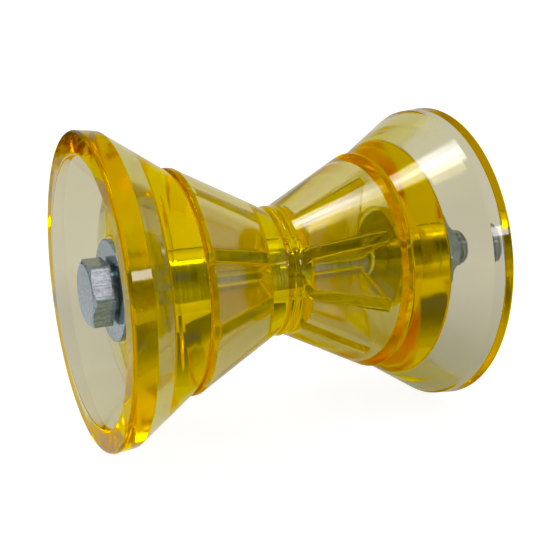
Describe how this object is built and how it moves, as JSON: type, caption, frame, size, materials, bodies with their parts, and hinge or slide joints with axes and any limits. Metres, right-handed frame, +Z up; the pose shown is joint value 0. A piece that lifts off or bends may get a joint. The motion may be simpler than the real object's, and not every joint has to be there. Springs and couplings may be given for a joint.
{
  "type": "boat trailer roller",
  "caption": "Bow roller for a boat trailer: clear amber hourglass spool between flared cupped end bells on a hex bolt.",
  "frame": {"origin": "middle of the spool on the bolt's axis", "axes": "+X along the axle bolt from its head towards the lock nut, +Z up, +Y away from the viewer of the front"},
  "size_m": [0.1347, 0.098, 0.098],
  "materials": {
    "amber_pvc": "clear, glossy, moulded",
    "zinc_plated_steel": "bright zinc plate",
    "nylon": "natural nylon"
  },
  "bodies": {
    "axle": {"hex_bolt": "zinc_plated_steel", "head_washer": "zinc_plated_steel", "nut_washer": "zinc_plated_steel", "lock_nut": "zinc_plated_steel", "nylon_insert": "nylon"},
    "spool": {"spool": "amber_pvc"},
    "head_end_bell": {"head_end_bell": "amber_pvc"},
    "nut_end_bell": {"nut_end_bell": "amber_pvc"}
  },
  "joints": [
    {"name": "spool_spin", "type": "hinge", "parent": "axle", "child": "spool", "pos_m": [0, 0, 0], "axis": [1, 0, 0], "continuous": true},
    {"name": "head_end_bell_spin", "type": "hinge", "parent": "axle", "child": "head_end_bell", "pos_m": [-0.045, 0, 0], "axis": [1, 0, 0], "continuous": true},
    {"name": "nut_end_bell_spin", "type": "hinge", "parent": "axle", "child": "nut_end_bell", "pos_m": [0.045, 0, 0], "axis": [1, 0, 0], "continuous": true}
  ]
}
